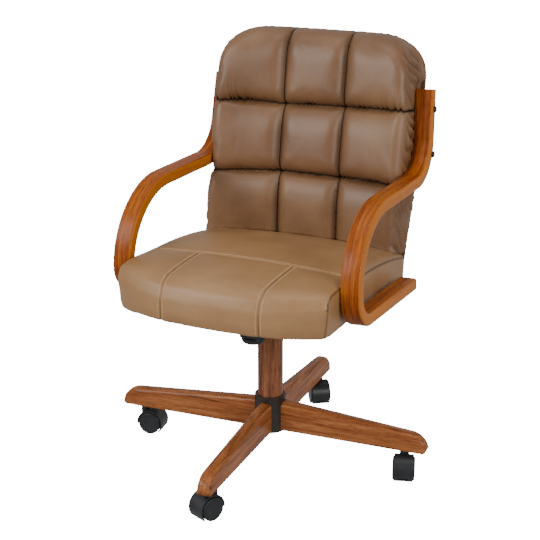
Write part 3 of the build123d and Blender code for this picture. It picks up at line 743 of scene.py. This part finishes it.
boxing = {
    "front": -0.035,
    "run": 0.097,
    "bulge": 0.006,
    "rearHalf": (0.212, 0.0095, 0.004),
    # room for the arms as they bend past, and for the uprights beside it
    "passHalf": 0.2264,
    "passHeights": ((0.118, 0.136), (0.202, 0.184)),
    "uprightHalf": 0.2242,
    "uprightFoot": 0.2087,
    "uprightLean": 0.0442,
    "uprightHeights": ((0.176, 0.19), (0.37, 0.352)),
    "uprightDepth": (0.0, 0.0105),
}


def backWidth(x, h):
    aside = back["aside"] + back["asideLow"] * smoothStep(*back["asideHeights"], h)
    return back["half"] - aside * np.sign(x) - back["taper"] * smoothStep(*back["taperHeights"], h)


def boxingSide(x, d, h):
    # half width of the boxing: it swells behind the front edge, then runs in to the shell
    width = backWidth(x, h)
    share = np.clip((d - boxing["front"]) / boxing["run"], 0, 1)
    shellSide = flaredHalf(h, *boxing["rearHalf"])
    side = width + boxing["bulge"] * np.sin(math.pi * share) + (shellSide - width) * share ** 2
    passing = between(*boxing["passHeights"], h)
    side = side + (np.minimum(side, boxing["passHalf"]) - side) * passing
    upright = boxing["uprightHalf"] - boxing["uprightLean"] * (h - boxing["uprightFoot"])
    beside = between(*boxing["uprightHeights"], h) * smoothStep(*boxing["uprightDepth"], d)
    return width, side + (np.minimum(side, upright) - side) * beside


def backEdge(x, h):
    # distance in from the outline, and how far the nearest edge is a top edge rather than a side
    top = back["height"] - back["crown"] * (x / back["crownHalf"]) ** 2
    overSide = np.maximum(np.abs(x) - (backWidth(x, h) - back["corner"]), 0)
    overTop = np.maximum(h - (top - back["corner"]), 0)
    reach = np.hypot(overSide, overTop)
    return back["corner"] - reach, np.where(reach > 0, (overTop / np.maximum(reach, 1e-9)) ** 2, 0)


def backFront(x, h):
    distance, topward = backEdge(x, h)
    width = back["sideRoll"][0] + (back["topRoll"][0] - back["sideRoll"][0]) * topward
    depth = back["sideRoll"][1] + (back["topRoll"][1] - back["sideRoll"][1]) * topward
    share = np.clip(1 - distance / width, 0, 1)
    under = np.clip(1 - (h - back["low"]) / back["rows"][0], 0, 1)
    wrap = back["wrap"] * np.clip(np.abs(x) / back["half"], 0, 1) ** 2.5
    return depth * rounded(share) + back["tuck"] * under ** 1.6 - wrap


def backBlock(cube):
    across, deep, up = cube.T
    dip = back["footDip"] * across ** 2 + back["cornerDip"] * np.abs(across) ** 12
    low = back["low"] - dip - back["cornerDip"] * smoothStep(-0.8, -1.0, across)
    h = low + (back["height"] - low) * (up + 1) / 2
    width = backWidth(across, h)
    x, h, outward = roundCorners(across * width, h, width, back["height"], back["corner"])
    h = h - back["crown"] * (x / back["crownHalf"]) ** 2 * np.clip(h / back["height"], 0, 1)
    front = backFront(x, h)
    d = front + (back["depth"] - front) * (deep + 1) / 2
    return np.stack([x, d, h], 1)


def backSeams(x, h):
    # distance to the nearest cross seam, to the seams below and above, and to the upright seams
    lower = back["rows"][0] + np.interp(x, back["strayAcross"], back["strayLower"])
    upper = back["rows"][1] + np.interp(x, back["strayAcross"], back["strayUpper"])
    toRow = np.minimum(np.abs(h - lower), np.abs(h - upper))
    below = np.where(h > upper, h - upper, np.where(h > lower, h - lower, 1.0))
    above = np.where(h < lower, lower - h, np.where(h < upper, upper - h, 1.0))
    return toRow, below, above, np.abs(np.abs(x) - back["columnSeam"])


def inBack(points):
    x, d, h = points.T
    cos, sin = math.cos(back["recline"]), math.sin(back["recline"])
    return np.stack([x, back["foot"][0] + d * cos + h * sin, back["foot"][1] - d * sin + h * cos], 1)


gathers = {
    "pitch": 0.0135,             # one pucker along a cross seam
    "depth": 0.0032,
    "fade": (0.35, 0.6),         # share of the depth over which they die away
    "over": 0.007,               # how far a pucker runs up from its seam, and that much more at the ends
    "under": 0.006,
    "endsAcross": (0.12, 0.2),
    "endsHeight": (0.22, 0.29),
    "waver": (0.0006, 0.0016),   # of the seam line: everywhere, and more where it is drawn up
    "waverReach": 0.006,
    "line": (0.0024, 0.0012),    # half width of the painted shade line along a cross seam, and more where it is drawn up
    # painted shade along the upright seams, a narrow line and a broad shade, and a line along the boxing's
    # rear edge
    "columnShadeLine": 0.0017,
    "columnShade": 0.007,
    "rearShadeLine": 0.0016,
    "rearDepth": 0.0605,
}
pleats = {
    "pitch": 0.018,              # one fold of the ruched boxing
    "depth": 0.0036,
    "slant": (0.66, 0.75),
    "depths": ((-0.04, -0.018), (0.061, 0.05)),
    "fromSide": (0.024, 0.01),
    "topPitch": 0.019,           # the few faint folds over the top
    "topDepth": 0.0007,
    "topHeights": (0.43, 0.448),
    "topDepths": ((0.03, 0.045), (0.061, 0.054)),
}


def backGathers(piece):
    # puckers along the cross seams, slanted ruching down the boxing, and painted shade along the sewn lines
    # and in the folds
    points = readPoints(piece)
    x, d, h = points.T
    toRow, below, above, toColumn = backSeams(x, h)
    front = backFront(x, h) - back["puff"]
    frontness = 1 - smoothStep(*gathers["fade"], (d - front) / (back["depth"] - front))
    # the same unevenness up each row of panels, another in the next row
    lineUp = np.stack([x, 0 * x, 0.05 * np.round(h / 0.15)], 1)
    gather = np.sin(2 * math.pi * (x / gathers["pitch"] + 2.4 * wobble(lineUp, 0.03, 3.1)))
    nearEnds = smoothStep(*gathers["endsAcross"], np.abs(x)) * smoothStep(*gathers["endsHeight"], h)
    strength = np.clip(0.1 + 0.8 * wobble(lineUp, 0.04, 7.7) + 0.8 * nearEnds, 0.04, 1)
    overSeam = np.exp(-np.minimum(below, 0.2) / (gathers["over"] + gathers["over"] * nearEnds))
    underSeam = 0.5 * np.exp(-np.minimum(above, 0.2) / gathers["under"])
    pucker = frontness * strength * np.maximum(overSeam, underSeam)
    waver = gathers["waver"][0] + gathers["waver"][1] * strength
    points[:, 1] += gathers["depth"] * pucker * gather
    points[:, 2] += frontness * nearLine(toRow, gathers["waverReach"]) * waver * gather

    width = backWidth(x, h)
    fromSide = [width - inset for inset in pleats["fromSide"]]
    onBoxing = between(*pleats["depths"], d) * smoothStep(*fromSide, np.abs(x))
    slant = h * pleats["slant"][0] + d * pleats["slant"][1]
    pleat = np.sin(2 * math.pi * (slant / pleats["pitch"] + 1.3 * wobble(points, 0.05, 1.2)))
    uneven = np.clip(0.7 + 1.2 * wobble(points, 0.06, 4.4), 0.2, 1)
    points[:, 0] += np.sign(x) * onBoxing * uneven * pleats["depth"] * pleat
    onTop = smoothStep(*pleats["topHeights"], h) * between(*pleats["topDepths"], d)
    topPleat = np.sin(2 * math.pi * (x * 0.9 / pleats["topPitch"] + wobble(points, 0.05, 5.2)))
    points[:, 2] += onTop * pleats["topDepth"] * topPleat

    # painted shade in the cross and upright seams, in the valleys of the puckers and ruching, and along the
    # rear edge
    creaseShade = frontness * nearLine(toRow, gathers["line"][0] + gathers["line"][1] * strength)
    columnShadeLine = 0.85 * nearLine(toColumn, gathers["columnShadeLine"])
    columnShadeLine += 0.22 * nearLine(toColumn, gathers["columnShade"])
    creaseShade += frontness * columnShadeLine
    creaseShade += 0.5 * pucker * np.clip(gather, 0, 1) + 0.4 * onBoxing * uneven * np.clip(-pleat, 0, 1) ** 2
    creaseShade += 0.8 * nearLine(d - gathers["rearDepth"], gathers["rearShadeLine"])
    writePoints(piece, inBack(points))
    setCreaseShade(piece, creaseShade)


def quiltedBack():
    piece = softBlock("quiltedBack", back["cuts"], backBlock)
    applyRemesh(piece, back["voxel"])
    x, d, h = readPoints(piece).T
    toRow, below, above, toColumn = backSeams(x, h)
    front = backFront(x, h)
    frontness = 1 - smoothStep(*back["puffFade"], (d - front) / (back["depth"] - front))
    inward = smoothStep(0.0, back["edgeEase"], backEdge(x, h)[0])
    # each panel hangs full over the seam below it and eases in to the seam above, less so at the sides
    pillow = shoulder(below, back["fullOver"]) * shoulder(above, back["fullUnder"])
    pillow = 1 - (1 - pillow) * (1 - 0.6 * smoothStep(*back["panelEnds"], np.abs(x)))
    pillow = pillow * (1 - 0.85 * (1 - shoulder(toColumn, back["fullBeside"], power=2.6)))
    d = d - back["puff"] * pillow * frontness * (0.8 + 0.2 * inward)
    d = d + back["seamSink"] * frontness * nearLine(toRow, back["seamReach"])
    width, side = boxingSide(x, d, h)
    x = x * (1 + (side / width - 1) * smoothStep(0.5, 0.95, np.abs(x) / width))
    writePoints(piece, np.stack([x, d, h], 1))
    sewn = (frontness > 0.4) & ((toRow < back["sewnRow"]) | (toColumn < back["sewnColumn"]))
    sewn |= (d > -0.004) | (h < 0.012)     # the boxing and the foot stay put
    fillCover(piece, sewn, back["pressure"], back["cap"])
    applySubdivision(piece)
    backGathers(piece)
    makeActive(piece)
    bpy.ops.object.shade_smooth()
    finishPiece(piece, shadedBackVinyl, "seat", ["back_cushion"])
    print("back cushion", len(piece.data.polygons), "faces")


# rear shell of the back: an upholstered board with a soft crown

shell = {
    "low": -0.036,
    "height": 0.450,
    "half": (0.211, 0.0095, 0.005),
    "corner": 0.078,
    "front": 0.0625,
    "rear": 0.080,
    "crown": 0.0045,
    "crownRun": 0.12,
    "edgeRound": 0.011,
    "cuts": 60,
    "voxel": 0.005,
    "held": 0.068,               # the front of it stays put
    "seam": 0.0725,
    "sewn": 0.0045,
    # where the line of painted shade runs, just behind the cushion, and its half width
    "line": 0.0635,
    "lineWidth": 0.0012,
    "pressure": 1.5,
    "cap": 0.003,
}


def shellBlock(cube):
    across, deep, up = cube.T
    h = shell["low"] + (shell["height"] - shell["low"]) * (up + 1) / 2
    width = flaredHalf(h, *shell["half"])
    x, h, outward = roundCorners(across * width, h, width, shell["height"], shell["corner"])
    toEdge = np.minimum(shell["corner"] - outward, h - shell["low"])
    share = np.clip(1 - toEdge / shell["edgeRound"], 0, 1)
    rear = shell["rear"] - shell["edgeRound"] * rounded(share)
    rear = rear + shell["crown"] * np.clip(toEdge / shell["crownRun"], 0, 1) ** 0.6
    d = shell["front"] + (rear - shell["front"]) * (deep + 1) / 2
    return np.stack([x, d, h], 1)


def rearShell():
    piece = softBlock("rearShell", shell["cuts"], shellBlock)
    applyRemesh(piece, shell["voxel"])
    d = readPoints(piece)[:, 1]
    sewn = (d < shell["held"]) | (np.abs(d - shell["seam"]) < shell["sewn"])
    fillCover(piece, sewn, shell["pressure"], shell["cap"])
    applySubdivision(piece)
    points = readPoints(piece)
    # painted shade in a line where the shell meets the cushion
    setCreaseShade(piece, 0.55 * nearLine(points[:, 1] - shell["line"], shell["lineWidth"]))
    writePoints(piece, inBack(points))
    makeActive(piece)
    bpy.ops.object.shade_smooth()
    finishPiece(piece, shadedBackVinyl, "seat", ["back_shell"])
    print("rear shell", len(piece.data.polygons), "faces")


# seat cushion: bowed front that rolls over, crowned top, boxed sides

seat = {
    "bottom": arm["seatBottom"],
    "boardGap": 0.0004,
    "slope": math.tan(arm["barSlope"]),
    "front": -0.286,
    "cornerX": 0.232,
    "cornerY": -0.234,
    "rear": 0.206,
    "half": 0.233,
    "halfLow": 0.2255,
    "drawIn": 0.07,              # the sides draw in over this height at the bottom
    "rearTaper": 0.004,
    "frontTop": 0.466,
    "rearTop": 0.441,
    "bulge": 0.103,
    "crown": 0.011,
    "fullCorner": (-0.09, -0.2),
    "waterfall": (0.040, 0.036),
    "sideRoll": (0.03, 0.009),
    "rearRoll": (0.014, 0.004),
    "hang": 0.003,               # the cover's lower front edge hangs this far below the board
    "hangFrom": (-0.095, -0.15),
    "cornerHang": 0.004,         # and its right corner this much more
    "cornerHangX": (-0.15, -0.232),
    "cornerHangY": (-0.14, -0.23),
    "crossSeam": -0.111,
    "frontSeam": 0.107,
    "boxInset": 0.0015,
    "cuts": 56,
    "voxel": 0.0046,
    "puff": 0.003,
    "puffReach": 0.05,
    "sewn": 0.003,
    "sewnBox": 0.004,
    "sewnEnds": 0.012,
    "pressure": 2.0,
    "cap": 0.003,
    "groove": 0.0016,
    "boxGroove": 0.0012,
}


def seatFront(x):
    return seat["front"] + (seat["cornerY"] - seat["front"]) * np.abs(x / seat["cornerX"]) ** 3


def seatHalf(y):
    return seat["half"] - seat["rearTaper"] * np.clip(y / seat["rear"], 0, 1)


def seatTop(x, y):
    share = (y - seat["front"]) / (seat["rear"] - seat["front"])
    z = seat["frontTop"] + (seat["rearTop"] - seat["frontTop"]) * share + seat["bulge"] * share * (1 - share)
    # the front corners are stuffed fuller than the sides
    full = smoothStep(*seat["fullCorner"], y)
    z = z - seat["crown"] * (1 - 0.55 * full) * (x / seat["half"]) ** 2
    tight = 1 - 0.45 * np.clip(np.abs(x) / seat["half"], 0, 1) ** 4
    fall = np.clip(1 - (y - seatFront(x)) / (seat["waterfall"][0] * tight), 0, 1)
    z = z - seat["waterfall"][1] * tight * rounded(fall)
    roll = np.clip(1 - (seat["half"] - np.abs(x)) / seat["sideRoll"][0], 0, 1)
    z = z - seat["sideRoll"][1] * (1 - 0.7 * full) * rounded(roll)
    rear = np.clip(1 - (seat["rear"] - y) / seat["rearRoll"][0], 0, 1)
    return z - seat["rearRoll"][1] * rounded(rear)


def seatLow(x, y):
    inCorner = smoothStep(*seat["cornerHangX"], x) * smoothStep(*seat["cornerHangY"], y)
    hang = seat["hang"] * smoothStep(*seat["hangFrom"], y) + seat["cornerHang"] * inCorner
    return seat["bottom"] + seat["boardGap"] - y * seat["slope"] - hang


def seatSide(half, above):
    # the sides draw in towards the bottom
    return seat["halfLow"] + (half - seat["halfLow"]) * np.clip(above / seat["drawIn"], 0, 1)


def seatBlock(cube):
    across, deep, up = cube.T
    x = across * seat["half"]
    front = seatFront(x)
    y = front + (seat["rear"] - front) * (deep + 1) / 2
    low = seatLow(x, y)
    top = seatTop(x, y)
    z = low + (top - low) * (up + 1) / 2
    side = seatSide(seatHalf(y), z - low)
    return np.stack([x * side / seat["half"], y, z], 1)


def seatSeams(x, y):
    toCross = np.abs(y - seat["crossSeam"])
    toFront = np.where(y < seat["crossSeam"], np.abs(np.abs(x) - seat["frontSeam"]), 1.0)
    return toCross, toFront


def boxSeams(x, y, z):
    # distance to the seams round the side panels: along the top of each side and down each front corner
    inset = seat["boxInset"]
    edge = seatTop(np.full_like(y, seat["half"] - 0.0005), y)
    along = np.hypot(seatHalf(y) - inset - np.abs(x), z - edge + inset)
    reach = seatSide(seat["half"], z - seatLow(x, y))
    down = np.hypot(np.abs(x) - reach + inset, y - seat["cornerY"] - inset)
    return np.minimum(along, down)


def puffSeat(piece):
    # the panels swell a little between their seams; gives the points that stay put when the cover is filled
    points = readPoints(piece)
    x, y, z = points.T
    toCross, toFront = seatSeams(x, y)
    low = seatLow(x, y)
    # 1 on that face of the cushion, fading out past its edge
    onTop = smoothStep(0.03, 0.0, seatTop(x, y) - z) * smoothStep(0.228, 0.21, np.abs(x))
    onFront = smoothStep(0.02, 0.004, y - seatFront(x))
    lift = shoulder(np.minimum(toCross * onTop + (1 - onTop), toFront), seat["puffReach"])
    points[:, 2] += seat["puff"] * lift * onTop * smoothStep(0.0, 0.03, seat["rear"] - y)
    points[:, 1] -= seat["puff"] * lift * onFront * smoothStep(0.0, 0.02, z - low) * (1 - onTop)
    writePoints(piece, points)
    sewn = (np.maximum(onTop, onFront) > 0.3) & ((toCross < seat["sewn"]) | (toFront < seat["sewn"]))
    sewn |= (z < low + seat["sewnEnds"]) | (y > seat["rear"] - seat["sewnEnds"])
    return sewn | (boxSeams(x, y, z) < seat["sewnBox"])


def sewSeat(piece):
    # grooves along the seams, and painted shade in them
    points = readPoints(piece)
    x, y, z = points.T
    toCross, toFront = seatSeams(x, y)
    toBox = boxSeams(x, y, z)
    onTop = smoothStep(0.03, 0.012, seatTop(x, y) - z) * smoothStep(0.231, 0.222, np.abs(x))
    onFront = smoothStep(0.03, 0.01, y - seatFront(x))
    outer = np.maximum(onTop, onFront)
    groove = nearLine(toFront, 0.0026) * outer + 0.6 * nearLine(toCross, 0.003) * onTop
    points[:, 2] -= seat["groove"] * groove * onTop
    points[:, 1] += seat["groove"] * groove * onFront * (1 - onTop)
    points[:, 0] -= np.sign(x) * seat["boxGroove"] * nearLine(toBox, 0.003)
    # painted shade along the seams and round the side panels
    creaseShade = 0.6 * nearLine(toFront, 0.0014) * outer + 0.25 * nearLine(toCross, 0.0016) * onTop
    creaseShade += 0.75 * nearLine(toBox, 0.0026)
    setCreaseShade(piece, creaseShade)
    writePoints(piece, points)


def paddedSeat():
    piece = softBlock("paddedSeat", seat["cuts"], seatBlock)
    applyRemesh(piece, seat["voxel"])
    sewn = puffSeat(piece)
    fillCover(piece, sewn, seat["pressure"], seat["cap"])
    applySubdivision(piece)
    sewSeat(piece)
    makeActive(piece)
    bpy.ops.object.shade_smooth()
    finishPiece(piece, seatVinyl, "seat", ["seat_cushion"])
    print("seat cushion", len(piece.data.polygons), "faces")
    return piece


# topstitching: one thread dash, copied along two rows beside each seam and laid on the cover

stitch = {
    "pitch": 0.0052,
    "length": 0.0029,
    "radius": 0.0009,            # thicker than thread, so that it shows
    "endRound": 0.45,            # share of the radius
    "stand": 0.35,               # share of the radius by which its middle stands off the cover
    "sink": 0.0002,
    "rowOffset": 0.0052,
    "crossOffset": 0.0042,
    "seamGap": 0.006,            # the front rows start this far from the cross seam
    "turn": (-0.235, 0.435),     # where the rays swing from the top to the front
    "lowEnd": 0.392,
    "crossHalf": 0.224,
    "above": 0.6,
}


def threadDash():
    deselectAll()
    bpy.ops.mesh.primitive_cylinder_add(vertices=6, radius=stitch["radius"], depth=stitch["length"],
                                        location=(0, 0, 0))
    dash = bpy.context.object
    bpy.ops.object.mode_set(mode="EDIT")
    bpy.ops.mesh.select_all(action="SELECT")
    bpy.ops.mesh.bevel(offset=stitch["radius"] * stitch["endRound"], segments=1)
    bpy.ops.object.mode_set(mode="OBJECT")
    return dash


def stitchRows(cover):
    # rows as rays on to the cover: down on to the top, then swinging over the edge on to the front
    tree = BVHTree.FromObject(cover, bpy.context.evaluated_depsgraph_get())
    down = (0, 0, -1)
    turnY, turnZ = stitch["turn"]
    rows = []
    for side in (-1, 1):
        for offset in (-stitch["rowOffset"], stitch["rowOffset"]):
            x = side * seat["frontSeam"] + offset
            start = seat["crossSeam"] - stitch["seamGap"]
            rays = [((x, y, stitch["above"]), down) for y in np.linspace(start, turnY, 90)]
            swing = np.linspace(0, math.pi / 2, 60)
            rays += [((x, turnY, turnZ), (0, -math.sin(a), math.cos(a))) for a in swing]
            rays += [((x, turnY, z), (0, -1, 0)) for z in np.linspace(turnZ, stitch["lowEnd"], 40)]
            rows.append(rays)
    across = np.linspace(-stitch["crossHalf"], stitch["crossHalf"], 200)
    for offset in (-stitch["crossOffset"], stitch["crossOffset"]):
        rows.append([((x, seat["crossSeam"] + offset, stitch["above"]), down) for x in across])
    for rays in rows:
        hits = [tree.ray_cast(Vector(start), Vector(aim)) for start, aim in rays]
        yield [(spot, normal) for spot, normal, face, distance in hits if spot]


def topStitching(cover):
    dash = threadDash()
    copies = []
    for row in stitchRows(cover):
        travelled, due = 0.0, stitch["pitch"]
        for (spot, normal), (after, normalAfter) in zip(row, row[1:]):
            step = (after - spot).length
            while travelled + step >= due and step > 0:
                place = spot.lerp(after, (due - travelled) / step)
                along = (after - spot).normalized()
                up = normal if normal.z > -0.2 else -normal
                across = along.cross(up).normalized()
                place = place + up * (stitch["radius"] * stitch["stand"] - stitch["sink"])
                turned = Matrix((across, across.cross(along) * -1, along)).transposed().to_4x4()
                copy = dash.copy()
                copy.data = dash.data.copy()
                copy.data.transform(Matrix.Translation(place) @ turned)
                bpy.context.scene.collection.objects.link(copy)
                copies.append(copy)
                due += stitch["pitch"]
            travelled += step
    bpy.data.objects.remove(dash)
    deselectAll()
    for copy in copies:
        copy.select_set(True)
    bpy.context.view_layer.objects.active = copies[0]
    bpy.ops.object.join()
    piece = bpy.context.object
    piece.name = "seatTopStitching"
    bpy.ops.object.shade_smooth()
    finishPiece(piece, thread, "seat")
    print("topstitching", len(copies), "dashes")


quiltedBack()
rearShell()
topStitching(paddedSeat())
